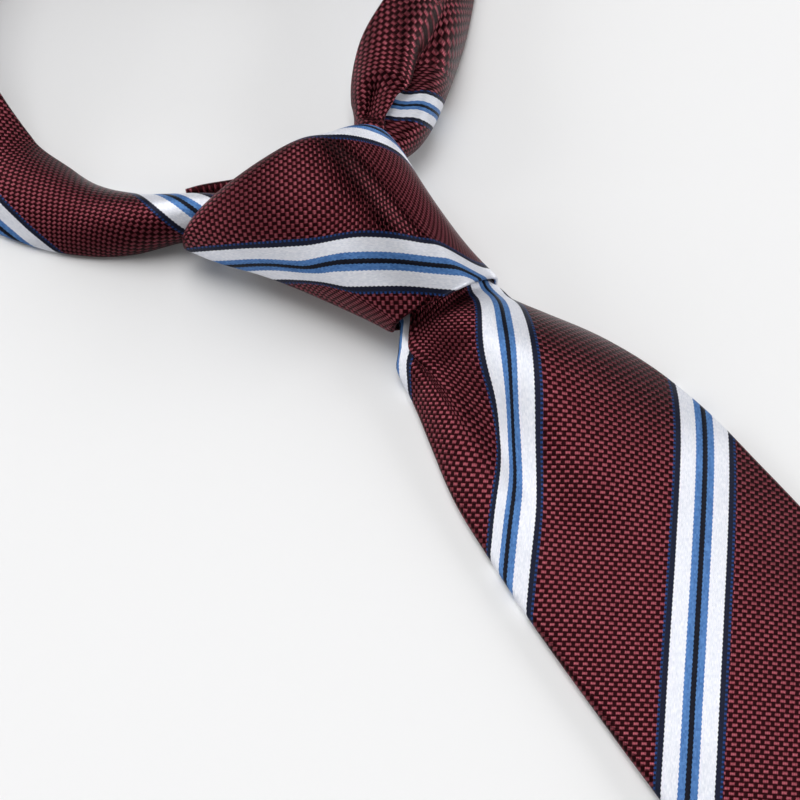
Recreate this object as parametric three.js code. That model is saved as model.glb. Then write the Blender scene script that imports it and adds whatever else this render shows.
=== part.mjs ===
// A silk necktie, tied in a four-in-hand knot and laid on a table.
// Millimetres, +Z up, the table at z = 0.
// The origin lies on the table under the knot, on the front blade's centre line.
// The blades run towards -Y, the loop that goes round the neck towards +Y.

import * as THREE from "three";

// Driving sizes
const BLADE_TIP = 505; // from the origin to the wide blade's point
const BLADE_WIDEST = 88;
const TAIL_TIP = 402; // from the origin to the narrow blade's point
const TAIL_WIDEST = 40;
const NECK_WIDTH = 32; // of the folded band behind the neck
const LOOP_BACK = 158; // from the origin to the back of the neck loop
const LOOP_SIDE = 71; // from the centre line to the loop's far side
const PAD = 3.2; // thickness of the folded, interlined blade
const BAND_PAD = 2.8; // thickness of the neck band
const TAIL_PAD = 2.4;
const SLEEVE_WALL = 2.0; // cloth of the knot's outer wrap
const KNOT_LEAN = 10.7; // degrees that the knot leans to the left of the blade
const MOUTH_X = -5.3; // middle of the knot's mouth
const MOUTH_Y = -25;
const KNOT_HEIGHT = 25.8;

const radians = (degrees) => (degrees * Math.PI) / 180;

// Rows of numbers, each under the names of its columns
function table(names, rows) {
  const columns = names.split(" ");
  return rows.map((row) => Object.fromEntries(row.map((v, i) => [columns[i], v])));
}

// The value of one column at a place between the rows, on a smooth curve through them
function column(rows, key, name, place) {
  const last = rows.length - 1;
  if (place <= rows[0][key]) return rows[0][name];
  if (place >= rows[last][key]) return rows[last][name];
  let i = 0;
  while (rows[i + 1][key] < place) i += 1;
  const slope = (j) => {
    const before = rows[Math.max(j - 1, 0)];
    const after = rows[Math.min(j + 1, last)];
    return (after[name] - before[name]) / (after[key] - before[key]);
  };
  const span = rows[i + 1][key] - rows[i][key];
  const t = (place - rows[i][key]) / span;
  const rise = rows[i + 1][name] - rows[i][name];
  const first = slope(i) * span;
  const second = slope(i + 1) * span;
  const bend = first + second - 2 * rise;
  return rows[i][name] + t * (first + t * (rise - first - bend + t * bend));
}

function rowAt(rows, key, place) {
  const names = Object.keys(rows[0]);
  return Object.fromEntries(names.map((name) => [name, column(rows, key, name, place)]));
}

// The middle line of a folded band's section.
// q runs from -1 at the right edge to 1 at the left edge, seen along the band's path.
// Each side is an arc; a dip pushes a crease into it; the whole section is then tilted.
function middleLine(row, q) {
  const arc = radians(q > 0 ? row.arch_out : row.arch_in);
  const half = row.width / 2;
  const straight = Math.abs(arc) < 1e-4;
  const across = straight ? half * q : (half * Math.sin(arc * q)) / arc;
  const fall = straight ? 0 : (half * (1 - Math.cos(arc * q))) / arc;
  const up = -fall - row.dip * Math.exp(-(((q - row.dip_at) / row.dip_wide) ** 2));
  const tilt = radians(row.tilt);
  return [
    across * Math.cos(tilt) - up * Math.sin(tilt),
    across * Math.sin(tilt) + up * Math.cos(tilt),
  ];
}

// The closed outline of a padded section: along its front face, then back along its back face.
// The edges are round, and the outline's lowest point is row.rest above the table.
function padOutline(row, count) {
  const at = (q, side) => {
    const [a, b] = middleLine(row, q);
    const [a0, b0] = middleLine(row, q - 0.004);
    const [a1, b1] = middleLine(row, q + 0.004);
    const length = Math.hypot(a1 - a0, b1 - b0);
    const round = row.thick / 2;
    const inward = ((1 - Math.abs(q)) * row.width) / 2;
    const edge = round ** 2 - Math.max(round - inward, 0) ** 2;
    const offset = side * Math.sqrt(Math.max(edge, 0));
    return [a - (offset * (b1 - b0)) / length, b + (offset * (a1 - a0)) / length];
  };
  const outline = [];
  for (let i = 0; i <= count; i += 1) outline.push(at(Math.cos((Math.PI * i) / count), 1));
  for (let i = count - 1; i > 0; i -= 1) outline.push(at(Math.cos((Math.PI * i) / count), -1));
  const lowest = Math.min(...outline.map(([, up]) => up));
  return outline.map(([across, up]) => [across, up - lowest + Math.max(row.rest, 0)]);
}

function solid(name, points, faces, colour) {
  const geometry = new THREE.BufferGeometry();
  geometry.setAttribute("position", new THREE.Float32BufferAttribute(points.flat(), 3));
  geometry.setIndex(faces.flat());
  geometry.computeVertexNormals();
  const material = new THREE.MeshStandardMaterial({
    color: colour,
    roughness: 0.6,
    side: THREE.DoubleSide,
  });
  const mesh = new THREE.Mesh(geometry, material);
  mesh.name = name;
  return mesh;
}

// Distance along the path, added to each row as the key of the curves
function withLengths(rows) {
  let along = 0;
  return rows.map((row, i) => {
    if (i > 0) along += Math.hypot(row.x - rows[i - 1].x, row.y - rows[i - 1].y);
    return { along, ...row };
  });
}

// The direction to the left of a band's path on the plan, at one place along it
function leftOfPath(rows, along) {
  const first = rows[0].along + 0.5;
  const last = rows[rows.length - 1].along - 0.5;
  const middle = Math.min(Math.max(along, first), last);
  const before = rowAt(rows, "along", middle - 0.5);
  const after = rowAt(rows, "along", middle + 0.5);
  const length = Math.hypot(after.x - before.x, after.y - before.y);
  return [-(after.y - before.y) / length, (after.x - before.x) / length];
}

// The blades' sections all stand square to the centre line
const leftOfBlade = () => [1, 0];

// A padded band that follows a path on the plan, closed at both ends
function bandAlong(name, rows, stations, leftOf, count, colour) {
  const points = [];
  const faces = [];
  const ring = 2 * count;
  for (const along of stations) {
    const row = rowAt(rows, "along", along);
    const [leftX, leftY] = leftOf(rows, along);
    for (const [a, b] of padOutline(row, count)) {
      points.push([row.x + a * leftX, row.y + a * leftY, b]);
    }
  }
  for (let i = 0; i + 1 < stations.length; i += 1) {
    for (let j = 0; j < ring; j += 1) {
      const a = i * ring + j;
      const b = i * ring + ((j + 1) % ring);
      faces.push([a, b + ring, a + ring], [a, b, b + ring]);
    }
  }
  const end = (stations.length - 1) * ring;
  for (let j = 0; j < count; j += 1) {
    const back = (ring - j) % ring;
    const nextBack = ring - j - 1;
    if (j > 0) {
      faces.push([j, back, j + 1]);
      faces.push([end + j, end + j + 1, end + back]);
    }
    if (j + 1 < count) {
      faces.push([j + 1, back, nextBack]);
      faces.push([end + j + 1, end + nextBack, end + back]);
    }
  }
  return solid(name, points, faces, colour);
}

function evenly(from, to, step) {
  const count = Math.max(1, Math.round((to - from) / step));
  return Array.from({ length: count + 1 }, (_, i) => from + ((to - from) * i) / count);
}

// The wide blade: an arched pad with a dimple under the knot, opening out to its flat, pointed end
function frontBlade() {
  const rows = table(
    "along x width arch_out arch_in tilt rest dip dip_at dip_wide thick",
    [
      [12, -4.0, 21, 26, 26, 0, 6.8, 0, -0.3, 0.3, 2.4],
      [23.4, -4.2, 22.4, 34, 34, 0, 6.2, 0, -0.3, 0.3, 2.4],
      [26.6, -4.3, 37.5, 66, 66, 0, 2.2, 1.4, -0.35, 0.28, 2.8],
      [35, -2.9, 47, 61, 60, 0, 0, 3.0, -0.38, 0.28, PAD],
      [46, -1.0, 54, 52, 50, 0, 0, 4.5, -0.4, 0.28, PAD],
      [60, -0.2, 59.6, 37, 37, 0, 0, 3.6, -0.42, 0.28, PAD],
      [75, 0, 62, 25, 27, 0, 0, 1.7, -0.45, 0.3, PAD],
      [95, 0, 64, 16, 17, 0, 0, 0.5, -0.45, 0.3, PAD],
      [125, 0, 66, 14, 14, 0, 0, 0, -0.45, 0.3, PAD],
      [200, 0, 71, 13, 13, 0, 0, 0, -0.45, 0.3, PAD],
      [320, 0, 79, 12, 12, 0, 0, 0, -0.45, 0.3, PAD],
      [400, 0, 85, 11, 11, 0, 0, 0, -0.45, 0.3, PAD],
      [BLADE_TIP - 48, 0, BLADE_WIDEST, 1, 1, 0, 0, 0, -0.45, 0.3, PAD],
      [BLADE_TIP - 43, 0, BLADE_WIDEST - 1, 1, 1, 0, 0, 0, -0.45, 0.3, PAD],
      [BLADE_TIP, 0, 1.5, 0.1, 0.1, 0, 0, 0, -0.45, 0.3, 3.0],
    ],
  ).map((row) => ({ ...row, y: -row.along }));
  const stations = [
    ...evenly(12, 22, 5),
    ...evenly(23.4, 41.4, 2),
    ...evenly(44, 100, 4),
    ...evenly(110, 380, 27),
    ...evenly(400, BLADE_TIP - 48, 19),
    ...evenly(BLADE_TIP - 45, BLADE_TIP, 5),
  ];
  return bandAlong("front_blade", rows, stations, leftOfBlade, 20, 0x6e1a2a);
}

// The narrow blade: a flat folded band under the wide one
function tailBlade() {
  const rows = table("along x width rest thick", [
    [12, -4.0, 13, 4.2, 1.8],
    [25, -4.0, 13, 4.2, 1.8],
    [36, -3, 20, 1.4, 2.2],
    [50, -1, 26, 0, TAIL_PAD],
    [80, 0, 29, 0, TAIL_PAD],
    [200, 0, 33, 0, TAIL_PAD],
    [TAIL_TIP - 24, 0, TAIL_WIDEST, 0, TAIL_PAD],
    [TAIL_TIP - 20, 0, TAIL_WIDEST - 1, 0, TAIL_PAD],
    [TAIL_TIP, 0, 1.5, 0, TAIL_PAD],
  ]).map((row) => ({
    ...row,
    y: -row.along,
    arch_out: 0,
    arch_in: 0,
    tilt: 0,
    dip: 0,
    dip_at: 0,
    dip_wide: 0.3,
  }));
  const stations = [
    ...evenly(12, 52, 5),
    ...evenly(80, TAIL_TIP - 24, 33),
    ...evenly(TAIL_TIP - 21, TAIL_TIP, 7),
  ];
  return bandAlong("tail_blade", rows, stations, leftOfBlade, 8, 0x64182a);
}

// The loop round the neck: out of the knot's left side, round the back and in at its right side.
// Near the knot it is gathered into a round roll; behind the neck it stands like a folded collar.
function neckBand() {
  const rows = withLengths(
    table("x y width arch_out arch_in tilt rest dip dip_at dip_wide thick", [
      [-23, 20.5, 18, 150, 150, 0, 3.4, 0, 0.1, 0.3, 2.4],
      [-31, 27.3, 19, 150, 150, 0, 3.6, 0, 0.1, 0.3, 2.4],
      [-39.5, 33.2, 21.6, 140, 140, 0, 2.4, 0, 0.1, 0.3, 2.6],
      [-48.2, 39.4, 24, 115, 115, 0, 0.4, 0, 0.1, 0.3, BAND_PAD],
      [-55.5, 46.8, 24.6, 85, 85, 0, 0.1, 0, 0.1, 0.3, BAND_PAD],
      [-62.3, 56.4, 25.6, 62, 62, -4, 0, 0, 0.1, 0.3, BAND_PAD],
      [-68.5, 71, 27, 44, 44, -8, 0, 0, 0.1, 0.3, BAND_PAD],
      [-LOOP_SIDE, 96, 30, 22, 22, -30, 0, 0, 0.1, 0.3, BAND_PAD],
      [-62, 124, NECK_WIDTH, 12, 12, -50, 0, 0, 0.1, 0.3, BAND_PAD],
      [-38, 148, NECK_WIDTH, 10, 10, -52, 0, 0, 0.1, 0.3, BAND_PAD],
      [-5, LOOP_BACK, NECK_WIDTH, 10, 10, -52, 0, 0, 0.1, 0.3, BAND_PAD],
      [30, 150, NECK_WIDTH, 10, 10, -52, 0, 0, 0.1, 0.3, BAND_PAD],
      [56, 128, NECK_WIDTH, 12, 12, -50, 0, 0, 0.1, 0.3, BAND_PAD],
      [65, 98, NECK_WIDTH, 20, 20, -45, 0, 0, 0.1, 0.3, BAND_PAD],
      [58.5, 69, NECK_WIDTH, 32, 32, -40, 0, 1, 0.1, 0.22, BAND_PAD],
      [44.5, 50.5, 30, 50, 50, -36, 0, 2.5, 0.1, 0.2, BAND_PAD],
      [27.2, 36.8, 31, 85, 85, -25, 0.6, 4, 0.1, 0.2, BAND_PAD],
      [15.6, 28.4, 27, 115, 115, -12, 2.2, 2.5, 0.1, 0.25, 2.6],
      [4.2, 21.2, 18, 140, 140, 0, 4.2, 1, 0.1, 0.3, 2.4],
      [-1, 13.5, 17, 150, 150, 0, 3.6, 0, 0.1, 0.3, 2.4],
    ]),
  );
  const length = rows[rows.length - 1].along;
  const stations = [
    ...evenly(0, 72, 6),
    ...evenly(86, length - 86, 12),
    ...evenly(length - 76, length, 5),
  ];
  return bandAlong("neck_band", rows, stations, leftOfPath, 16, 0x6e1a2a);
}

// The knot's outer wrap, ring by ring from its mouth upwards.
// left and right are reaches from the knot's centre line, mid the height where the sides are widest.
const KNOT_RINGS = table("up left right top bottom mid", [
  [-0.5, 11.4, 15.6, 14, 1.5, 8],
  [8, 12.4, 16.2, 17.5, 0.4, 8],
  [18, 14.6, 18.2, 21.2, -0.8, 8],
  [28, 17.4, 20.9, 24, -1.2, 8],
  [38, 21.2, 24.4, KNOT_HEIGHT, -1.2, 8],
  [48, 25.8, 27.4, 25.2, -1.2, 7.5],
  [58, 29.3, 28.5, 21.5, -1.2, 7.5],
]);

// A point on the knot: turn is 0 at the right, a quarter turn at the crown, three quarters underneath
function knotPoint(turn, up, inset) {
  const ring = rowAt(KNOT_RINGS, "up", up);
  const c = Math.cos(turn);
  const s = Math.sin(turn);
  const half = (c > 0 ? ring.right : ring.left) - inset;
  const power = s > 0 ? 2 / 2.1 : 2 / 2.7;
  const q = half * Math.sign(c) * Math.abs(c) ** power;
  const reach = (s > 0 ? ring.top - ring.mid : ring.mid - ring.bottom) - inset;
  const z = ring.mid + reach * Math.sign(s) * Math.abs(s) ** power;
  const lean = radians(KNOT_LEAN);
  return [
    MOUTH_X + q * Math.cos(lean) - up * Math.sin(lean),
    MOUTH_Y + q * Math.sin(lean) + up * Math.cos(lean),
    Math.max(z, 0),
  ];
}

// The mouth's edge rises at its left, the rim falls away at its right for the strap
const mouthUp = (turn) => 2.5 - 3 * Math.cos(turn) + 1.5 * Math.max(0, -Math.cos(turn)) ** 2;
const rimUp = (turn) => 51.5 - 5.5 * Math.cos(turn) - 9 * Math.max(0, Math.cos(turn)) ** 3;

function knotBand() {
  const around = 52;
  const rings = 14;
  // The wall's own section: outside from mouth to rim, over the rim, inside back, round the mouth
  const profile = [];
  for (let j = 0; j <= rings; j += 1) profile.push({ share: j / rings, past: 0, inset: 0 });
  profile.push({ share: 1, past: 0.5 * SLEEVE_WALL, inset: 0.5 * SLEEVE_WALL });
  for (let j = rings; j >= 0; j -= 1) {
    profile.push({ share: j / rings, past: 0, inset: SLEEVE_WALL });
  }
  profile.push({ share: 0, past: -0.5 * SLEEVE_WALL, inset: 0.5 * SLEEVE_WALL });
  const points = [];
  const faces = [];
  for (const { share, past, inset } of profile) {
    for (let i = 0; i < around; i += 1) {
      const turn = (2 * Math.PI * i) / around;
      const up = mouthUp(turn) + (rimUp(turn) - mouthUp(turn)) * share + past;
      points.push(knotPoint(turn, up, inset));
    }
  }
  for (let j = 0; j < profile.length; j += 1) {
    const next = (j + 1) % profile.length;
    for (let i = 0; i < around; i += 1) {
      const beside = (i + 1) % around;
      const a = j * around + i;
      const b = j * around + beside;
      const c = next * around + i;
      const d = next * around + beside;
      faces.push([a, d, b], [a, c, d]);
    }
  }
  return solid("knot_band", points, faces, 0x6e1a2a);
}

// The wraps inside the knot: a pad on edge between the two straps, whose rolled end shows at the left
function knotInnerWrap() {
  const rows = withLengths(
    table("x y width rest thick", [
      [-3, 24.5, 8, 4.4, 5],
      [-8, 26, 9, 3.4, 6],
      [-16, 30.2, 8.5, 2.8, 5],
      [-25, 35, 7, 2.6, 3.6],
      [-31, 37.6, 5.6, 2.8, 3],
      [-34.5, 38.8, 3, 3.6, 2.4],
    ]),
  ).map((row) => ({
    ...row,
    arch_out: 8,
    arch_in: 8,
    tilt: 78,
    dip: 0,
    dip_at: 0,
    dip_wide: 0.3,
  }));
  const length = rows[rows.length - 1].along;
  return bandAlong("knot_inner_wrap", rows, evenly(0, length, 3), leftOfPath, 8, 0x5c1626);
}

const group = new THREE.Group();
group.name = "silk_necktie";
group.add(frontBlade(), tailBlade(), knotBand(), knotInnerWrap(), neckBand());

export default group;
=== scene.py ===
"""A striped silk necktie, tied in a four-in-hand knot and laid on a pale table."""

import math

import bmesh
import bpy
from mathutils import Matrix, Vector, noise


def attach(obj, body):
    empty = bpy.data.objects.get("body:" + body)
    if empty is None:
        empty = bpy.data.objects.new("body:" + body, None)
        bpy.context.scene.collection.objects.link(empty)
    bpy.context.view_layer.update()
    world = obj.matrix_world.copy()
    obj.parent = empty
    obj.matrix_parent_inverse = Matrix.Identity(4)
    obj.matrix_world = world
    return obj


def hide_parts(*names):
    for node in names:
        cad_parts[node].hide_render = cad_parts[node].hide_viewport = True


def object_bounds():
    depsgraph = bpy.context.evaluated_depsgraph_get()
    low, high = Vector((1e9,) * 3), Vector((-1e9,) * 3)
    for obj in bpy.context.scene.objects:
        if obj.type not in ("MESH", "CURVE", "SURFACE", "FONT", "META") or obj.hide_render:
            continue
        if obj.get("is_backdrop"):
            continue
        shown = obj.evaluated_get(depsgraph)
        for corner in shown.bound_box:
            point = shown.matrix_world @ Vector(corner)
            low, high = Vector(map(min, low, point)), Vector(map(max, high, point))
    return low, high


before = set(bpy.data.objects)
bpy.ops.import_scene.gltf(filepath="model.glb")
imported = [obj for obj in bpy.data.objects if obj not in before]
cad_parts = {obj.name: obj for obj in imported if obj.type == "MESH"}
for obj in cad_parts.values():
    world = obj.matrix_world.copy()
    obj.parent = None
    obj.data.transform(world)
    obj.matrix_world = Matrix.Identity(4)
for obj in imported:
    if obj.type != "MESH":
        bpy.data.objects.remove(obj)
CAD_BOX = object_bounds()

MM = 0.001  # the sizes below are in millimetres

# Sizes of the tie, as in the solids
BLADE_TIP = 505  # from the origin to the wide blade's point
BLADE_WIDEST = 88
TAIL_TIP = 402  # from the origin to the narrow blade's point
TAIL_WIDEST = 40
NECK_WIDTH = 32  # of the folded band behind the neck
LOOP_BACK = 158  # from the origin to the back of the neck loop
LOOP_SIDE = 71  # from the centre line to the loop's far side
PAD = 3.2  # thickness of the folded, interlined blade
BAND_PAD = 2.8  # thickness of the neck band
TAIL_PAD = 2.4
KNOT_LEAN = math.radians(10.7)  # to the left of the blade
MOUTH_X = -5.3  # middle of the knot's mouth
MOUTH_Y = -25
KNOT_HEIGHT = 25.8

# The knot's cloth is thinner than in the solids, and thinnest at the mouth's edge
SLEEVE_WALL = 1.5
MOUTH_WALL = 1.0

# The woven pattern: stripes cross each band on the bias and repeat
BIAS = math.radians(41)
STRIPE_REPEAT = 40.6
CELL_ACROSS = 0.93  # a float of the ground weave, across the stripes
CELL_ALONG = 1.0
CLOTH_GAP = 0.1  # the lowest threads stay this far above the table


# Tables and the curves through their rows

def table(names, *rows):
    return [dict(zip(names.split(), row)) for row in rows]


def column(rows, key, name, place):
    """One column's value between the rows, on a smooth curve through them."""
    last = len(rows) - 1
    if place <= rows[0][key]:
        return rows[0][name]
    if place >= rows[last][key]:
        return rows[last][name]
    i = 0
    while rows[i + 1][key] < place:
        i += 1

    def slope(j):
        before, after = rows[max(j - 1, 0)], rows[min(j + 1, last)]
        return (after[name] - before[name]) / (after[key] - before[key])

    span = rows[i + 1][key] - rows[i][key]
    t = (place - rows[i][key]) / span
    rise = rows[i + 1][name] - rows[i][name]
    first, second = slope(i) * span, slope(i + 1) * span
    bend = first + second - 2 * rise
    return rows[i][name] + t * (first + t * (rise - first - bend + t * bend))


def row_at(rows, key, place):
    return {name: column(rows, key, name, place) for name in rows[0]}


def with_lengths(rows):
    """The distance along the path, added to each row as the key of the curves."""
    along = 0.0
    keyed = []
    for i, row in enumerate(rows):
        if i:
            along += math.hypot(row["x"] - rows[i - 1]["x"], row["y"] - rows[i - 1]["y"])
        keyed.append({"along": along, **row})
    return keyed


def smooth(low, high, value):
    """0 up to low, 1 from high on and smooth between them."""
    t = min(max((value - low) / (high - low), 0.0), 1.0)
    return t * t * (3 - 2 * t)


def swell(start, full, fading, gone, value):
    """0 up to start, 1 from full to fading, 0 again from gone on and smooth between them."""
    return smooth(start, full, value) * (1 - smooth(fading, gone, value))


def hump(centre, wide, value):
    """1 at the centre, about a third at the distance wide from it and 0 far away."""
    return math.exp(-((value - centre) / wide) ** 2)


def places_along(start, *runs):
    """Places in runs of even steps: a run says where it ends and about how long a step is."""
    places = [start]
    for end, step in runs:
        first = places[-1]
        count = max(1, round((end - first) / step))
        places += [first + (end - first) * i / count for i in range(1, count + 1)]
    return places


def ripple(x, y, size, height):
    """The cloth's slight unevenness, in millimetres."""
    noise_slice = 3.7
    return height * noise.noise(Vector((x / size, y / size, noise_slice)))


# Sections of a folded band

def middle_line(row, q):
    """The middle of the section: q is 1 at the edge on the path's left and -1 at the other."""
    arc = math.radians(row["arch_out"] if q > 0 else row["arch_in"])
    half = row["width"] / 2
    if abs(arc) < 1e-4:
        across, fall = half * q, 0.0
    else:
        across = half * math.sin(arc * q) / arc
        fall = half * (1 - math.cos(arc * q)) / arc
    up = -fall - row["dip"] * hump(row["dip_at"], row["dip_wide"], q) - row["sunk"](q)
    tilt = math.radians(row["tilt"])
    return (
        across * math.cos(tilt) - up * math.sin(tilt),
        across * math.sin(tilt) + up * math.cos(tilt),
    )


def pad_point(row, q, side):
    """A point on the front (side 1) or back (side -1) face, with round edges."""
    near = 0.004
    across, up = middle_line(row, q)
    before, after = middle_line(row, q - near), middle_line(row, q + near)
    length = math.dist(before, after)
    way_across, way_up = (after[0] - before[0]) / length, (after[1] - before[1]) / length
    around = row["thick"] / 2
    inward = (1 - abs(q)) * row["width"] / 2
    offset = side * math.sqrt(max(around**2 - max(around - inward, 0) ** 2, 0))
    slide = 0.0
    if side > 0:
        slide, push = row["folded"](q)
        offset += push
    return across - offset * way_up + slide * way_across, up + offset * way_across + slide * way_up


def section_arcs(row, count=64):
    """Share of the section's length at evenly spaced q, for laying the cloth on it."""
    unsunk = {**row, "sunk": still}
    points = [middle_line(unsunk, -1 + 2 * i / count) for i in range(count + 1)]
    total = [0.0]
    for before, after in zip(points, points[1:]):
        total.append(total[-1] + math.dist(before, after))
    return [value / total[-1] for value in total]


def share_at(arcs, q):
    place = (q + 1) / 2 * (len(arcs) - 1)
    i = min(int(place), len(arcs) - 2)
    return arcs[i] + (arcs[i + 1] - arcs[i]) * (place - i)


def pleat(distance, reach, lift):
    """How a pleat moves its layers: distance is from the fold, above 0 on the upper layer.

    The wave is 1 and -1 half a unit from the fold, and goes back to 0 on both sides.
    """
    wave = 2 * distance * math.exp(0.5 - 2 * distance**2)
    return reach * wave, lift * wave


def left_of_path(rows, along):
    near = 0.5
    low, high = rows[0]["along"] + near, rows[-1]["along"] - near
    middle = min(max(along, low), high)
    before = row_at(rows, "along", middle - near)
    after = row_at(rows, "along", middle + near)
    dx, dy = after["x"] - before["x"], after["y"] - before["y"]
    length = math.hypot(dx, dy)
    return -dy / length, dx / length


def left_of_blade(rows, along):
    """Every section of the blades lies square to the y axis."""
    return 1.0, 0.0


def still(q):
    return 0.0


def unmoved(q):
    return 0.0, 0.0


def plain(along, half):
    """A section with no folds of its own.

    At a place q, sunk is how far the surface is lowered, and folded how far the front is
    moved along the section and off it. The pattern is moved by slid across the band, on
    the front alone, and by shifted across the stripes.
    """
    return {"sunk": still, "folded": unmoved, "slid": still, "shifted": still}


# Making a mesh from a grid

def grid_mesh(columns, rows, place, cloth):
    """A grid whose point (u, v), each from 0 to 1, is moved to place(u, v).

    cloth(u, v, middle) gives the cloth coordinates at a corner of the face whose middle
    is given, because the cloth's ends meet along two of the grid's lines.
    """
    bm = bmesh.new()
    bmesh.ops.create_grid(bm, x_segments=columns, y_segments=rows, size=0.5)
    layer = bm.loops.layers.uv.new("cloth")
    for face in bm.faces:
        middle = face.calc_center_median() + Vector((0.5, 0.5, 0))
        for loop in face.loops:
            co = loop.vert.co
            loop[layer].uv = cloth(co.x + 0.5, co.y + 0.5, middle)
    for vert in bm.verts:
        vert.co = Vector(place(vert.co.x + 0.5, vert.co.y + 0.5)) * MM
    bmesh.ops.remove_doubles(bm, verts=bm.verts, dist=1e-7)
    return bm


def finish_piece(bm, name, material):
    bmesh.ops.recalc_face_normals(bm, faces=bm.faces)
    for face in bm.faces:
        face.smooth = True
    mesh = bpy.data.meshes.new(name)
    bm.to_mesh(mesh)
    bm.free()
    mesh.materials.append(material)
    piece = bpy.data.objects.new(name, mesh)
    bpy.context.scene.collection.objects.link(piece)
    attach(piece, "root")
    return piece


def cloth_course(rows, stations, phase):
    """Where the band's middle runs in the cloth, and at what angle, at each station."""
    across = phase + stations[0] * math.sin(BIAS)
    down = stations[0] * math.cos(BIAS)
    course = []
    for i, station in enumerate(stations):
        angle = BIAS + math.radians(column(rows, "along", "skew", station))
        if i:
            step = station - stations[i - 1]
            across += step * math.sin(angle)
            down += step * math.cos(angle)
        course.append((across, down, angle))
    return course


def band_piece(name, rows, stations, left_of, folds, around, phase, material):
    """A folded, padded band along its path; the cloth's two edges meet down its back.

    A row is one section: the place of its middle, its width round the arch, the width of
    cloth that shows on it and how far the pattern is drawn back along the band. Its skew,
    arch and tilt are in degrees, and it rests at a height. A dip has a depth, and a place
    and a width as shares of the half width. phase is where the cloth starts in the repeat.
    """
    sections = []
    edge_to_edge = [math.cos(math.pi * i / 40) for i in range(41)]
    course = cloth_course(rows, stations, phase)
    for along, (across, down, angle) in zip(stations, course):
        row = row_at(rows, "along", along)
        row.update(folds(along, row["width"] / 2))
        lowest = min(pad_point(row, q, side)[1] for q in edge_to_edge for side in (1, -1))
        row["lift"] = max(row["rest"], 0) - lowest
        row["cloth_across"] = across + row["drawn"] * math.sin(BIAS)
        row["cloth_down"] = down + row["drawn"] * math.cos(BIAS)
        row["angle"] = angle
        row["arcs"] = section_arcs(row)
        row["left"] = left_of(rows, along)
        sections.append(row)
    last = len(stations) - 1

    def place(u, v):
        row = sections[round(v * last)]
        side = 1 if u <= 0.5 else -1
        across, up = pad_point(row, math.cos(2 * math.pi * u), side)
        x, y = row["x"] + across * row["left"][0], row["y"] + across * row["left"][1]
        return x, y, max(up + row["lift"], CLOTH_GAP)

    def cloth(u, v, middle):
        """The front is u up to 0.5. Behind it each half is laid on from its own edge."""
        row = sections[round(v * last)]
        q = math.cos(2 * math.pi * u)
        across = (share_at(row["arcs"], q) - 0.5) * row["cloth"]
        if middle.x > 0.75:
            across = row["cloth"] - across
            q = 1
        elif middle.x > 0.5:
            across = -row["cloth"] - across
            q = -1
        else:
            across += row["slid"](q)
        return (
            row["cloth_across"] + across * math.cos(row["angle"]) + row["shifted"](q),
            row["cloth_down"] - across * math.sin(row["angle"]),
        )

    bm = grid_mesh(around, last, place, cloth)
    rims = [edge for edge in bm.edges if edge.is_boundary]
    bmesh.ops.holes_fill(bm, edges=rims, sides=0)
    return finish_piece(bm, name, material)


# The front blade

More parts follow.
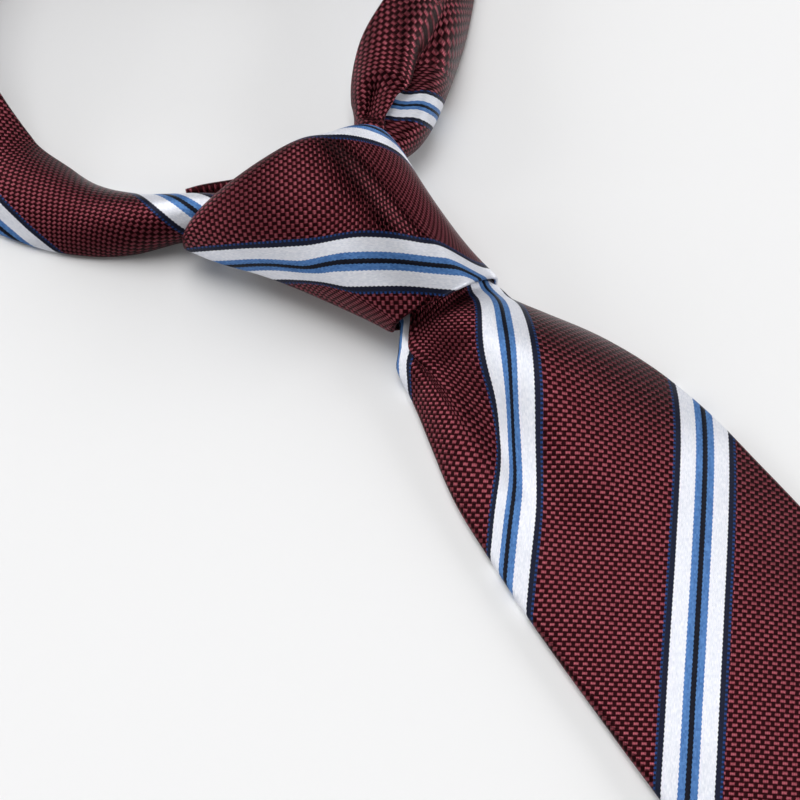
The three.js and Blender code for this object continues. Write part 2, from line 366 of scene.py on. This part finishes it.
def front_blade(silk):
    rows = table(
        "along x width cloth drawn arch_out arch_in rest dip dip_at dip_wide thick",
        (12, -4.0, 21, 52, 0, 26, 26, 6.8, 0, -0.3, 0.3, 2.4),
        (19.8, -3.4, 24, 54, 0, 20, 38, 6.0, 0, -0.3, 0.3, 2.4),
        (23.4, -4.4, 30.1, 56, 0, 38, 58, 2.9, 0.5, -0.3, 0.3, 2.4),
        (26.6, -4.2, 38, 57, 1, 64, 64, 1.4, 1.4, -0.35, 0.28, 2.8),
        (35, -2.2, 45.4, 59, 3, 61, 60, 0, 3.4, -0.38, 0.26, PAD),
        (46, -0.7, 53.4, 60.5, 3, 52, 50, 0, 5.0, -0.4, 0.25, PAD),
        (60, -0.2, 59.6, 61.5, 1.5, 37, 37, 0, 4.2, -0.42, 0.24, PAD),
        (75, 0, 62, 62.6, 0.5, 25, 27, 0, 2.0, -0.45, 0.26, PAD),
        (95, 0, 64, 64, 0, 16, 17, 0, 0.5, -0.45, 0.3, PAD),
        (125, 0, 66, 66, 0, 14, 14, 0, 0, -0.45, 0.3, PAD),
        (200, 0, 71, 71, 0, 13, 13, 0, 0, -0.45, 0.3, PAD),
        (320, 0, 79, 79, 0, 12, 12, 0, 0, -0.45, 0.3, PAD),
        (400, 0, 85, 85, 0, 11, 11, 0, 0, -0.45, 0.3, PAD),
        (BLADE_TIP - 48, 0, BLADE_WIDEST, BLADE_WIDEST, 0, 1, 1, 0, 0, -0.45, 0.3, PAD),
        (BLADE_TIP - 43, 0, BLADE_WIDEST - 1, BLADE_WIDEST - 1, 0, 1, 1, 0, 0, -0.45, 0.3, PAD),
        (BLADE_TIP, 0, 1.5, 1.5, 0, 0.1, 0.1, 0, 0, -0.45, 0.3, 3.0),
    )
    for row in rows:
        row.update(y=-row["along"], skew=0, tilt=0)
    tuck_at, tuck_wide = -0.66, 1.6
    tuck_reach, tuck_lift = 1.0, 0.5
    hidden_at_mouth, hidden_below = 4.0, 7.4  # cloth that the tuck takes up
    slack_cloth = 2.6  # taken up on one side of a line that slants down the blade
    drawn_middle = 1.6  # the pattern in the middle lies this much nearer the tuck

    def folds(along, half):
        tuck = swell(17, 20, 29, 36, along)
        tucked = swell(17, 20, 30, 56, along)
        slack = slack_cloth * swell(30, 54, 72, 95, along)
        slack_from = -0.0275 * (along - 47)
        drawn = drawn_middle * hump(38.5, 13, along)
        hidden = hidden_at_mouth + (hidden_below - hidden_at_mouth) * smooth(20, 27, along)

        def sunk(q):
            return ripple(q * half, along, 16, 0.3) * smooth(20, 60, along)

        def folded(q):
            from_fold = (q - tuck_at) * half / tuck_wide
            slide, push = pleat(from_fold, tuck_reach * tuck, tuck_lift * tuck)
            return -slide, push

        def slid(q):
            return drawn * (1 - q * q)

        def shifted(q):
            under = smooth(-0.5, 0.5, (tuck_at - q) * half / tuck_wide)
            return -hidden * tucked * under - slack * smooth(0, 0.26, slack_from - q)

        return {"sunk": sunk, "folded": folded, "slid": slid, "shifted": shifted}

    stations = places_along(12, (60, 0.8), (140, 2), (455, 5), (BLADE_TIP, 1.5))
    piece = band_piece(
        "front_blade_silk", rows, stations, left_of_blade, folds,
        around=160, phase=10.2, material=silk,
    )
    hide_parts("front_blade")
    return piece


# The tail, under the front blade

def tail_blade(silk):
    rows = table(
        "along x width rest thick",
        (12, -4.0, 13, 4.2, 1.8),
        (25, -4.0, 13, 4.2, 1.8),
        (36, -3, 20, 1.4, 2.2),
        (50, -1, 26, 0, TAIL_PAD),
        (80, 0, 29, 0, TAIL_PAD),
        (200, 0, 33, 0, TAIL_PAD),
        (TAIL_TIP - 24, 0, TAIL_WIDEST, 0, TAIL_PAD),
        (TAIL_TIP - 20, 0, TAIL_WIDEST - 1, 0, TAIL_PAD),
        (TAIL_TIP, 0, 1.5, 0, TAIL_PAD),
    )
    flat = dict(drawn=0, skew=0, arch_out=0, arch_in=0, tilt=0, dip=0, dip_at=0, dip_wide=0.3)
    for row in rows:
        row.update(flat, y=-row["along"], cloth=row["width"])
    stations = places_along(12, (60, 2), (370, 6), (TAIL_TIP, 1.5))
    piece = band_piece(
        "tail_blade_silk", rows, stations, left_of_blade, plain,
        around=64, phase=0.0, material=silk,
    )
    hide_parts("tail_blade")
    return piece


# The loop that goes round the neck

def neck_band(silk):
    """The path leaves the knot on its left, and its left side is the loop's outside."""
    rows = with_lengths(table(
        "x y width cloth drawn skew arch tilt rest dip dip_wide thick",
        (-23, 20.5, 18, 31, 0, 0, 150, 0, 3.4, 0, 0.3, 2.4),
        (-31, 27.3, 19, 32, 0, 1, 150, 0, 3.6, 0, 0.3, 2.4),
        (-39.5, 33.2, 21.6, 34, 0, 6, 140, 0, 2.4, 0, 0.3, 2.6),
        (-48.2, 39.4, 24, 36, 0, 14, 115, 0, 0.4, 0, 0.3, BAND_PAD),
        (-55.5, 46.8, 24.6, 39, 0, 2, 85, 0, 0.1, 0, 0.3, BAND_PAD),
        (-62.3, 56.4, 25.6, 38, 0, -11, 62, -4, 0, 0, 0.3, BAND_PAD),
        (-68.5, 71, 27, 35, 0, -9, 44, -8, 0, 0, 0.3, BAND_PAD),
        (-LOOP_SIDE, 96, 30, 33, 0, -3, 22, -30, 0, 0, 0.3, BAND_PAD),
        (-62, 124, NECK_WIDTH, NECK_WIDTH, 3, 0, 12, -50, 0, 0, 0.3, BAND_PAD),
        (-38, 148, NECK_WIDTH, NECK_WIDTH, 7, 0, 10, -52, 0, 0, 0.3, BAND_PAD),
        (-5, LOOP_BACK, NECK_WIDTH, NECK_WIDTH, 11, 0, 10, -52, 0, 0, 0.3, BAND_PAD),
        (30, 150, NECK_WIDTH, NECK_WIDTH, 15, 0, 10, -52, 0, 0, 0.3, BAND_PAD),
        (56, 128, NECK_WIDTH, NECK_WIDTH, 18, 0, 12, -50, 0, 0, 0.3, BAND_PAD),
        (65, 98, NECK_WIDTH, NECK_WIDTH, 23, -14, 20, -45, 0, 0, 0.3, BAND_PAD),
        (58.5, 69, 29.6, 31, 43, -24, 32, -40, 0, 0, 0.22, BAND_PAD),
        (45.4, 50.1, 25.6, 28, 46, -22, 50, -36, 0, 1.0, 0.2, BAND_PAD),
        (28.4, 35.7, 33, 31, 37, -12, 85, -25, 0.6, 4, 0.2, BAND_PAD),
        (16.9, 27.4, 31.5, 30, 37, -12, 106, -14, 2.0, 3, 0.25, 2.6),
        (4.6, 20.8, 19, 26, 37, -12, 140, 0, 4.2, 1, 0.3, 2.4),
        (-1, 13.5, 17, 26, 37, -12, 150, 0, 3.6, 0, 0.3, 2.4),
    ))
    for row in rows:
        row.update(arch_out=row["arch"], arch_in=row["arch"], dip_at=0.1)
    length = rows[-1]["along"]
    lap_at, lap_wide = -0.05, 3.2
    lap_reach, lap_lift = 2.6, 0.9
    lap_from, lap_to = 38, 12  # from the band's end
    hidden_at_end = 22.6  # cloth under the lap, a millimetre less for each one from its end
    pit_at, pit_deep, pit_wide = -0.31, 4.2, 3.6

    def folds(along, half):
        to_knot = length - along
        lapped = swell(9, 16, 30, 46, to_knot)
        parted = 1 - smooth(40, 80, to_knot)
        pit = swell(15, 20, 25, 30, to_knot)
        hidden = hidden_at_end + lap_to - min(max(to_knot, lap_to), lap_from)

        def sunk(q):
            unevenness = ripple(q * half, along, 13, 0.35)
            return unevenness + pit_deep * pit * hump(pit_at, pit_wide / half, q)

        def folded(q):
            from_fold = (lap_at - q) * half / lap_wide
            return pleat(from_fold, lap_reach * lapped, lap_lift * lapped)

        def slid(q):
            return folded(q)[0] if q < lap_at else 0.0

        def shifted(q):
            lower = smooth(-0.5, 0.5, (q - lap_at) * half / lap_wide)
            return hidden * lower * parted

        return {"sunk": sunk, "folded": folded, "slid": slid, "shifted": shifted}

    stations = places_along(0, (90, 1.0), (length - 100, 4), (length - 60, 1.5), (length, 0.7))
    piece = band_piece(
        "neck_band_silk", rows, stations, left_of_path, folds,
        around=176, phase=-13.0, material=silk,
    )
    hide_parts("neck_band")
    return piece


# The knot's outer wrap, a sleeve of folded cloth

# Rings up the knot from its mouth: half widths to both sides, and heights above the table
KNOT_RINGS = table(
    "up left right top bottom mid",
    (-0.5, 10.7, 15.6, 14, 1.5, 8.4),
    (8, 11.7, 16.2, 17.5, 0.4, 8.4),
    (18, 14.2, 18.2, 21.2, -0.8, 8.2),
    (28, 17.4, 20.9, 24, -1.2, 8),
    (38, 21.2, 24.4, KNOT_HEIGHT, -1.2, 8),
    (48, 25.8, 27.4, 25.4, -1.2, 7.5),
    (58, 29.3, 28.5, 22.5, -1.2, 7.5),
)
# Powers of a ring's quarters: 2 is an ellipse, more is squarer and less is more pointed
TOP_POWER = 2.1
RIGHT_UNDERSIDE_POWER = 2.7
LEFT_UNDERSIDE_POWER = 1.5


def knot_point(turn, up, inset):
    """turn is 90 at the crown, 180 at the left, 270 underneath and 360 at the right.

    inset is how far the point lies inside the knot's outer surface.
    """
    ring = row_at(KNOT_RINGS, "up", up)
    degrees = (turn - 90) % 360 + 90  # from 90 to 450, so that the crown's right is above 360

    # A valley runs up the crown's right side, with a ridge beside it
    valley = 1.7 * hump(426, 13, degrees) * smooth(8, 24, up)
    ridge = 0.9 * hump(400, 12, degrees) * smooth(4, 20, up)

    side, rise = math.cos(math.radians(turn)), math.sin(math.radians(turn))
    inset = inset + valley - ridge + ripple(20 * side, up, 15, 0.35)
    half = (ring["right"] if side > 0 else ring["left"]) - inset
    reach = (ring["top"] - ring["mid"] if rise > 0 else ring["mid"] - ring["bottom"]) - inset
    underside_power = RIGHT_UNDERSIDE_POWER if side > 0 else LEFT_UNDERSIDE_POWER
    power = 2 / (TOP_POWER if rise > 0 else underside_power)
    across = half * math.copysign(abs(side) ** power, side)
    z = ring["mid"] + reach * math.copysign(abs(rise) ** power, rise)
    return (
        MOUTH_X + across * math.cos(KNOT_LEAN) - up * math.sin(KNOT_LEAN),
        MOUTH_Y + across * math.sin(KNOT_LEAN) + up * math.cos(KNOT_LEAN),
        max(z, CLOTH_GAP),
    )


def sleeve_profile(turn, outside, lip, inside):
    """(up, inset, distance in the cloth) from the mouth over the rim and back inside."""
    side, rise = math.cos(math.radians(turn)), math.sin(math.radians(turn))
    left, right = max(0, -side), max(0, side)
    above, below = max(0, rise), max(0, -rise)
    mouth = 2.5 - 3 * side + left**2 + 5 * below * left  # the edge slants down to the right
    rim = 51.5 - 5.5 * side - 9 * right**3
    roll = SLEEVE_WALL + 0.3 + 4.2 * above**1.5  # the rim is rounder at the crown
    start = rim - roll + 2.5 * above
    bend = math.radians(80)  # that the cloth turns inwards at the rim
    bends = 2 * lip
    points = [(mouth + (start - mouth) * i / outside, 0.0) for i in range(outside + 1)]
    for i in range(1, bends + 1):
        turned = bend * i / bends
        points.append((start + roll * math.sin(turned), roll * (1 - math.cos(turned))))
    edge_up, edge_in = points[-1]
    for i in range(1, lip):
        turned = math.pi * i / lip
        past = math.sin(turned) * SLEEVE_WALL / 2
        inward = (1 - math.cos(turned)) * SLEEVE_WALL / 2
        points.append((
            edge_up + past * math.cos(bend) - inward * math.sin(bend),
            edge_in + past * math.sin(bend) + inward * math.cos(bend),
        ))
    inner = roll - SLEEVE_WALL
    for i in range(bends, -1, -1):
        turned = bend * i / bends
        points.append((start + inner * math.sin(turned), roll - inner * math.cos(turned)))
    for i in range(1, inside + 1):
        wall = SLEEVE_WALL + (MOUTH_WALL - SLEEVE_WALL) * i / inside
        points.append((start + (mouth - start) * i / inside, wall))
    for i in range(1, lip):
        turned = math.pi * i / lip
        out = (1 + math.cos(turned)) * MOUTH_WALL / 2
        points.append((mouth - math.sin(turned) * MOUTH_WALL / 2, out))
    points.append(points[0])
    distance = [mouth]
    for before, after in zip(points, points[1:]):
        distance.append(distance[-1] + math.dist(before, after))
    return [(up, inset, far) for (up, inset), far in zip(points, distance)]


def knot_band(silk):
    # Faces round the knot, and along the profile's parts
    around, outside, lip, inside = 176, 76, 6, 12
    cone = 52.0  # the cloth runs round the knot as on a cone whose point is this far below
    gather = 1.02  # it is drawn together this much up the knot
    phase = -7.4
    hidden_left, hidden_right = 5.5, 16.5  # cloth that the steep sides take up
    raised = 1.6  # on the lower half the stripes lie this much nearer the neck
    turns = [90 + 360 * i / around for i in range(around + 1)]
    profiles = [sleeve_profile(turn, outside, lip, inside) for turn in turns]
    last = len(profiles[0]) - 1
    points = [
        [knot_point(turn, *profile[j][:2]) for turn, profile in zip(turns, profiles)]
        for j in range(last + 1)
    ]
    arcs = []
    for ring in points:
        arc = [0.0]
        for before, after in zip(ring, ring[1:]):
            arc.append(arc[-1] + math.dist(before, after))
        arcs.append(arc)

    def place(u, v):
        return points[round(v * last)][round(u * around)]

    def cloth(u, v, middle):
        """The cloth is laid from the crown down both sides, and its edges meet underneath."""
        j, i = round(v * last), round(u * around)
        distance = profiles[i][j][2]
        if middle.x > 0.5:
            steep = 1 - smooth(385, 425, turns[i])
            arc = arcs[j][i] - arcs[j][-1] - hidden_right * steep
        else:
            steep = smooth(150, 177, turns[i]) * (1 - 0.9 * smooth(16, 48, distance))
            arc = arcs[j][i] + hidden_left * steep
        if middle.y > 1 - lip / last:
            # The mouth's round edge is laid on from the outside
            distance -= profiles[i][last][2] - profiles[i][0][2]
        distance -= raised * (1 - smooth(22, 31, distance))
        reach = cone + distance * gather
        swing = -arc / reach
        sideways, onwards = reach * math.sin(swing), reach * math.cos(swing) - cone
        return (
            sideways * math.sin(BIAS) + onwards * math.cos(BIAS) + phase,
            sideways * math.cos(BIAS) - onwards * math.sin(BIAS),
        )

    bm = grid_mesh(around, last, place, cloth)
    piece = finish_piece(bm, "knot_band_silk", silk)
    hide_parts("knot_band")
    return piece


# The wraps inside the knot

def knot_inner_wrap(silk):
    rows = with_lengths(table(
        "x y width rest thick",
        (-3, 24.5, 8, 4.4, 5),
        (-8, 26, 6.4, 3.4, 6),
        (-16, 30.2, 4.6, 2.8, 5),
        (-25, 35, 4, 2.6, 3.6),
        (-31, 37.6, 4, 2.8, 3),
        (-34.5, 38.8, 3, 3.6, 2.4),
    ))
    upright = dict(drawn=0, skew=0, arch_out=8, arch_in=8, tilt=78, dip=0, dip_at=0, dip_wide=0.3)
    for row in rows:
        row.update(upright, cloth=row["width"])
    stations = places_along(0, (rows[-1]["along"], 0.8))
    piece = band_piece(
        "knot_inner_wrap_silk", rows, stations, left_of_path, plain,
        around=40, phase=-2.0, material=silk,
    )
    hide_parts("knot_inner_wrap")
    return piece


# The woven silk

class Nodes:
    """Short calls for adding shader nodes to one tree."""

    def __init__(self, tree):
        self.tree = tree

    def add(self, kind, **settings):
        node = self.tree.nodes.new(kind)
        for name, value in settings.items():
            setattr(node, name, value)
        return node

    def put(self, value, socket):
        """Link an output, or set a number or a colour."""
        if isinstance(value, bpy.types.NodeSocket):
            self.tree.links.new(value, socket)
        elif isinstance(value, tuple) and socket.type == "RGBA":
            socket.default_value = (*value, 1)
        elif value is not None:
            socket.default_value = value

    def math(self, operation, a, b=None):
        node = self.add("ShaderNodeMath", operation=operation)
        for socket, value in zip(node.inputs, (a, b)):
            self.put(value, socket)
        return node.outputs[0]

    def times(self, a, b):
        return self.math("MULTIPLY", a, b)

    def plus(self, a, b):
        return self.math("ADD", a, b)

    def opposite(self, a):
        """0 where the value is 1, and 1 where it is 0."""
        return self.math("SUBTRACT", 1.0, a)

    def wave(self, a, turns):
        """A sine that goes round that many turns for each 1 of the value."""
        return self.math("SINE", self.times(a, turns * 2 * math.pi))

    def step(self, low, high, value):
        """0 below low, 1 above high and smooth between them."""
        node = self.add("ShaderNodeMapRange", interpolation_type="SMOOTHSTEP")
        for socket, number in zip(node.inputs, (value, low, high, 0.0, 1.0)):
            self.put(number, socket)
        return node.outputs[0]

    def past(self, place, blur, value):
        """0 before the place and 1 after it."""
        return self.step(place - blur, place + blur, value)

    def chance(self, across, along, wide, long):
        """A number from 0 to 1 by chance for each cell of the cloth, wide by long in size."""
        cell = self.add("ShaderNodeCombineXYZ")
        self.put(self.math("FLOOR", self.times(across, 1 / wide)), cell.inputs[0])
        self.put(self.math("FLOOR", self.times(along, 1 / long)), cell.inputs[1])
        speckle = self.add("ShaderNodeTexWhiteNoise", noise_dimensions="2D")
        self.put(cell.outputs[0], speckle.inputs["Vector"])
        return speckle.outputs["Value"]

    def mix(self, share, a, b, blend="MIX"):
        node = self.add("ShaderNodeMix", data_type="RGBA", blend_type=blend)
        for socket, value in zip((node.inputs[0], node.inputs[6], node.inputs[7]), (share, a, b)):
            self.put(value, socket)
        return node.outputs[2]

    def mix_values(self, share, a, b):
        node = self.add("ShaderNodeMix", data_type="FLOAT")
        for socket, value in zip((node.inputs[0], node.inputs[2], node.inputs[3]), (share, a, b)):
            self.put(value, socket)
        return node.outputs[0]


# Threads of a stripe from its middle line outwards: how far each reaches, in millimetres
STRIPE = table(
    "reach colour",
    (0.55, (0.008, 0.009, 0.016)),
    (2.0, (0.095, 0.225, 0.490)),
    (5.3, (0.800, 0.805, 0.850)),
    (6.4, (0.009, 0.011, 0.026)),
    (6.9, (0.012, 0.045, 0.170)),
)
STRIPE_METALLIC = 0.45
THREAD_BLUR = 0.06  # half the breadth in which one thread's colour turns into the next
GROUND_BLUR = 0.05
EDGE_STEP = 0.06  # how far the threads move a stripe's edges to and fro
DOTS_FROM = 6.36  # the outermost thread is a row of dots, which come in from here
DOTS_FULL = 6.46
STREAKS = (5.0, 0.9, 1.0)  # how many there are in a millimetre across and along a stripe
STREAK_SHADE = (0.86, 0.87, 0.90)
GRAIN_ACROSS = 0.36
GRAIN_ALONG = 0.6
GRAIN_SHADE = (0.55, 0.62, 0.70)
WHITE_GRAIN = 0.25  # how much of the grain the white threads show
SATIN_LINES = 0.36  # from one slanting line of the satin to the next
SATIN_SLANT = 0.8
# The floats' red in painted shade, at their ends and between their threads, and in painted
# highlight, on their crests
FLOAT_RED_IN_PAINTED_SHADE = (0.056, 0.003, 0.006)
FLOAT_RED_IN_PAINTED_HIGHLIGHT = (0.270, 0.074, 0.094)
FLOAT_SHADE = 0.82  # of the dullest float
FLOAT_SPREAD = 0.35  # what chance adds to it
THREADS_IN_FLOAT = 3
CROSS_THREAD = (0.015, 0.003, 0.004)
WEAVE_DEPTH = 0.16
THREAD_ROUGHNESS = 0.35
THREAD_STRETCH = 0.95  # how far a thread draws out its highlight
THREAD_SPECULAR = 0.12


def streaks(n, cloth):
    """Streaks along the threads of a stripe."""
    stretched = n.add("ShaderNodeVectorMath", operation="MULTIPLY")
    n.put(cloth, stretched.inputs[0])
    n.put(STREAKS, stretched.inputs[1])
    texture = n.add("ShaderNodeTexNoise", noise_dimensions="2D")
    n.put(stretched.outputs[0], texture.inputs["Vector"])
    n.put(1.0, texture.inputs["Scale"])
    n.put(3.0, texture.inputs["Detail"])
    return texture.outputs["Fac"]


def stripe_colour(n, away, stepping, streak, grain):
    """The stripe's colours, one band of threads after another, with streaks and grains."""
    colour = STRIPE[0]["colour"]
    for before, row in zip(STRIPE, STRIPE[1:]):
        colour = n.mix(n.past(before["reach"], THREAD_BLUR, away), colour, row["colour"])
    dots = n.step(-0.2, 0.4, stepping)
    dotted = n.mix(dots, STRIPE[-2]["colour"], STRIPE[-1]["colour"])
    colour = n.mix(n.step(DOTS_FROM, DOTS_FULL, away), colour, dotted)
    streaked = n.mix(1.0, colour, STREAK_SHADE, "MULTIPLY")
    colour = n.mix(n.step(0.25, 0.75, streak), colour, streaked)
    grained = n.mix(1.0, colour, GRAIN_SHADE, "MULTIPLY")
    white_from = STRIPE[1]["reach"]
    graininess = n.mix_values(n.past(white_from, 0.1, away), 1.0, WHITE_GRAIN)
    return n.mix(n.times(grain, graininess), colour, grained)


def ground_colour(n, side_along, ridges, chance):
    """The red floats: each has its own shade by chance, and its threads lie side by side. On top
    of that is painted light: a brighter, pinker red as a painted highlight on each float's crest
    and its threads' ridges, and a darker red as painted shade at its ends and between its threads.
    """
    shade = n.plus(n.times(chance, FLOAT_SPREAD), FLOAT_SHADE)
    # Painted light: lighter where the float arches up and on its threads' ridges, darker at its
    # ends and between its threads
    arch = n.math("POWER", side_along, 1.3)
    painted_crest_light = n.times(arch, n.plus(n.times(ridges, 0.8), 0.1))
    return n.mix(n.times(shade, painted_crest_light), FLOAT_RED_IN_PAINTED_SHADE, FLOAT_RED_IN_PAINTED_HIGHLIGHT)


def floats(n, wave_across, wave_along, side_across, side_along):
    """1 on the ground's red floats and 0 on its dark cross threads, in turn like a chequer."""
    red_cell = n.past(0.0, 0.06, n.times(wave_across, wave_along))
    red_here = n.step(0.12, 0.42, side_along)
    red_between = n.opposite(n.step(0.12, 0.34, side_across))
    return n.mix_values(red_cell, red_between, red_here)


def ground_height(n, red, side_across, side_along, ridges, cross_ridges):
    """Floats arch over the cross threads."""
    arched = n.plus(n.times(n.math("POWER", side_along, 0.7), 0.55), n.times(ridges, 0.2))
    arched = n.plus(arched, n.times(n.math("POWER", side_across, 0.5), 0.25))
    sunken = n.plus(n.times(side_across, 0.25), n.times(cross_ridges, 0.12))
    return n.mix_values(red, sunken, arched)


def satin_height(n, across, along, away, streak):
    """The stripe's satin has fine slanting lines, streaks and a cord down its middle."""
    lines = n.wave(n.plus(across, n.times(along, SATIN_SLANT)), 1 / SATIN_LINES)
    cord = n.opposite(n.step(0.0, 0.7, away))
    height = n.plus(n.plus(n.times(lines, 0.1), 0.5), n.times(cord, 0.5))
    return n.plus(height, n.times(streak, 0.25))


def weave_group():
    """The striped cloth's colour, cross threads, height and metallic, from its coordinates."""
    tree = bpy.data.node_groups.new("striped weave", "ShaderNodeTree")
    tree.interface.new_socket("Cloth", in_out="INPUT", socket_type="NodeSocketVector")
    tree.interface.new_socket("Thread Colour", in_out="OUTPUT", socket_type="NodeSocketColor")
    for name in ("Cross Threads", "Height", "Metallic"):
        tree.interface.new_socket(name, in_out="OUTPUT", socket_type="NodeSocketFloat")
    n = Nodes(tree)
    cloth, result = n.add("NodeGroupInput").outputs["Cloth"], n.add("NodeGroupOutput")
    parts = n.add("ShaderNodeSeparateXYZ")
    n.put(cloth, parts.inputs[0])
    across, along = parts.outputs[0], parts.outputs[1]
    cells_across = n.times(across, 1 / CELL_ACROSS)
    cells_along = n.times(along, 1 / CELL_ALONG)

    # How far each point is from the nearest stripe's middle; the threads step its edges
    stepping = n.wave(cells_along, 1)
    away = n.math("PINGPONG", n.plus(across, n.times(stepping, EDGE_STEP)), STRIPE_REPEAT / 2)
    in_ground = n.past(STRIPE[-1]["reach"], GROUND_BLUR, away)

    # Waves that change sign from one cell of the ground to the next, and its single threads
    wave_across, wave_along = n.wave(cells_across, 0.5), n.wave(cells_along, 0.5)
    side_across, side_along = n.math("ABSOLUTE", wave_across), n.math("ABSOLUTE", wave_along)
    ridges = n.math("ABSOLUTE", n.wave(cells_across, THREADS_IN_FLOAT / 2))
    cross_ridges = n.math("ABSOLUTE", n.wave(cells_along, THREADS_IN_FLOAT / 2))
    red = floats(n, wave_across, wave_along, side_across, side_along)

    streak = streaks(n, cloth)
    grain = n.chance(across, along, GRAIN_ACROSS, GRAIN_ALONG)
    stripe = stripe_colour(n, away, stepping, streak, grain)
    chance = n.chance(across, along, CELL_ACROSS, CELL_ALONG)
    # The ground's colour carries painted highlights and painted shade on the red floats
    ground = ground_colour(n, side_along, ridges, chance)
    satin = satin_height(n, across, along, away, streak)
    woven = ground_height(n, red, side_across, side_along, ridges, cross_ridges)
    n.put(n.mix(in_ground, stripe, ground), result.inputs["Thread Colour"])
    n.put(n.times(in_ground, n.opposite(red)), result.inputs["Cross Threads"])
    n.put(n.mix_values(in_ground, satin, woven), result.inputs["Height"])
    n.put(n.mix_values(in_ground, STRIPE_METALLIC, 1.0), result.inputs["Metallic"])
    return tree


def woven_silk(name, weave):
    """Threads along the stripes and dark threads across them, each with its own gloss."""
    material = bpy.data.materials.new(name)
    material.use_nodes = True
    material.node_tree.nodes.clear()
    n = Nodes(material.node_tree)
    cloth = n.add("ShaderNodeGroup", node_tree=weave)
    n.put(n.add("ShaderNodeUVMap", uv_map="cloth").outputs[0], cloth.inputs["Cloth"])
    bump = n.add("ShaderNodeBump")
    n.put(1.0, bump.inputs["Strength"])
    n.put(WEAVE_DEPTH * MM, bump.inputs["Distance"])
    n.put(cloth.outputs["Height"], bump.inputs["Height"])
    tangent = n.add("ShaderNodeTangent", direction_type="UV_MAP", uv_map="cloth")

    threads = n.add("ShaderNodeBsdfPrincipled")
    n.put(cloth.outputs["Thread Colour"], threads.inputs["Base Color"])
    n.put(cloth.outputs["Metallic"], threads.inputs["Metallic"])
    n.put(THREAD_SPECULAR, threads.inputs["Specular IOR Level"])

    crossing = n.add("ShaderNodeBsdfPrincipled")
    n.put(CROSS_THREAD, crossing.inputs["Base Color"])
    n.put(1.0, crossing.inputs["Metallic"])

    for shader in (threads, crossing):
        n.put(THREAD_ROUGHNESS, shader.inputs["Roughness"])
        n.put(THREAD_STRETCH, shader.inputs["Anisotropic"])
        n.put(bump.outputs[0], shader.inputs["Normal"])
        n.put(tangent.outputs[0], shader.inputs["Tangent"])
    both = n.add("ShaderNodeMixShader")
    n.put(cloth.outputs["Cross Threads"], both.inputs[0])
    n.put(threads.outputs[0], both.inputs[1])
    n.put(crossing.outputs[0], both.inputs[2])
    n.put(both.outputs[0], n.add("ShaderNodeOutputMaterial").inputs[0])
    return material


# The table, the light and the camera

def pale_table():
    half_side = 12.0  # in metres, so that no edge comes into view
    bm = bmesh.new()
    bmesh.ops.create_grid(bm, x_segments=1, y_segments=1, size=half_side)
    mesh = bpy.data.meshes.new("table_top")
    bm.to_mesh(mesh)
    bm.free()
    top = bpy.data.objects.new("table_top", mesh)
    bpy.context.scene.collection.objects.link(top)
    material = bpy.data.materials.new("pale_table")
    material.use_nodes = True
    paint = material.node_tree.nodes["Principled BSDF"]
    paint.inputs["Base Color"].default_value = (0.86, 0.86, 0.865, 1)
    paint.inputs["Roughness"].default_value = 0.7
    paint.inputs["Specular IOR Level"].default_value = 0.15
    mesh.materials.append(material)
    top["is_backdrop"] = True


def studio():
    """A dark room with broad panels of light: turn is from the x axis, height from the table."""
    world = bpy.data.worlds.new("studio")
    world.use_nodes = True
    world.node_tree.nodes["Background"].inputs["Strength"].default_value = 0.0
    bpy.context.scene.world = world
    bpy.context.scene.view_settings.view_transform = "Standard"
    breadth = math.radians(30)  # of each panel, as seen from the tie
    panels = table(
        "name turn height power",
        ("right_low_panel", 335, 15, 1.81),
        ("back_right_low_panel", 5, 15, 0.50),
        ("left_low_panel", 125, 15, 1.37),
        ("left_side_panel", 155, 15, 0.34),
        ("left_front_panel", 185, 15, 0.46),
        ("back_top_panel", 65, 62, 0.76),
        ("left_top_panel", 125, 62, 0.58),
        ("back_middle_panel", 95, 38, 0.37),
        ("back_right_middle_panel", 65, 38, 0.31),
        ("front_middle_panel", 215, 38, 0.17),
        ("overhead_panel", 55, 85, 0.52),
    )
    for panel in panels:
        light = bpy.data.lights.new(panel["name"], "SUN")
        light.angle = breadth
        light.energy = panel["power"]
        lamp = bpy.data.objects.new(panel["name"], light)
        turn, height = math.radians(panel["turn"]), math.radians(panel["height"])
        towards = Vector((
            math.cos(turn) * math.cos(height),
            math.sin(turn) * math.cos(height),
            math.sin(height),
        ))
        lamp.rotation_euler = towards.to_track_quat("Z", "Y").to_euler()
        bpy.context.scene.collection.objects.link(lamp)


def camera():
    elevation, azimuth, distance = math.radians(60), math.radians(-34.5), 0.469
    aim = Vector((-0.0232, -0.0323, 0.0))
    back = Vector((
        math.sin(azimuth) * math.cos(elevation),
        -math.cos(azimuth) * math.cos(elevation),
        math.sin(elevation),
    ))
    data = bpy.data.cameras.new("camera")
    data.lens = 95
    data.sensor_width = 36
    data.clip_start = 0.01
    view = bpy.data.objects.new("camera", data)
    view.location = aim + back * distance
    view.rotation_euler = (math.pi / 2 - elevation, 0, azimuth)
    bpy.context.scene.collection.objects.link(view)
    bpy.context.scene.camera = view


def write_sizes():
    boxes = {"cad": CAD_BOX, "visual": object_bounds()}
    plain_boxes = {name: [list(corner) for corner in box] for name, box in boxes.items()}


camera()
pale_table()
studio()
weave = weave_group()
striped_silk = woven_silk("striped_silk", weave)
inner_silk = woven_silk("inner_silk", weave)
front_blade(striped_silk)
tail_blade(striped_silk)
neck_band(striped_silk)
knot_band(striped_silk)
knot_inner_wrap(inner_silk)
write_sizes()
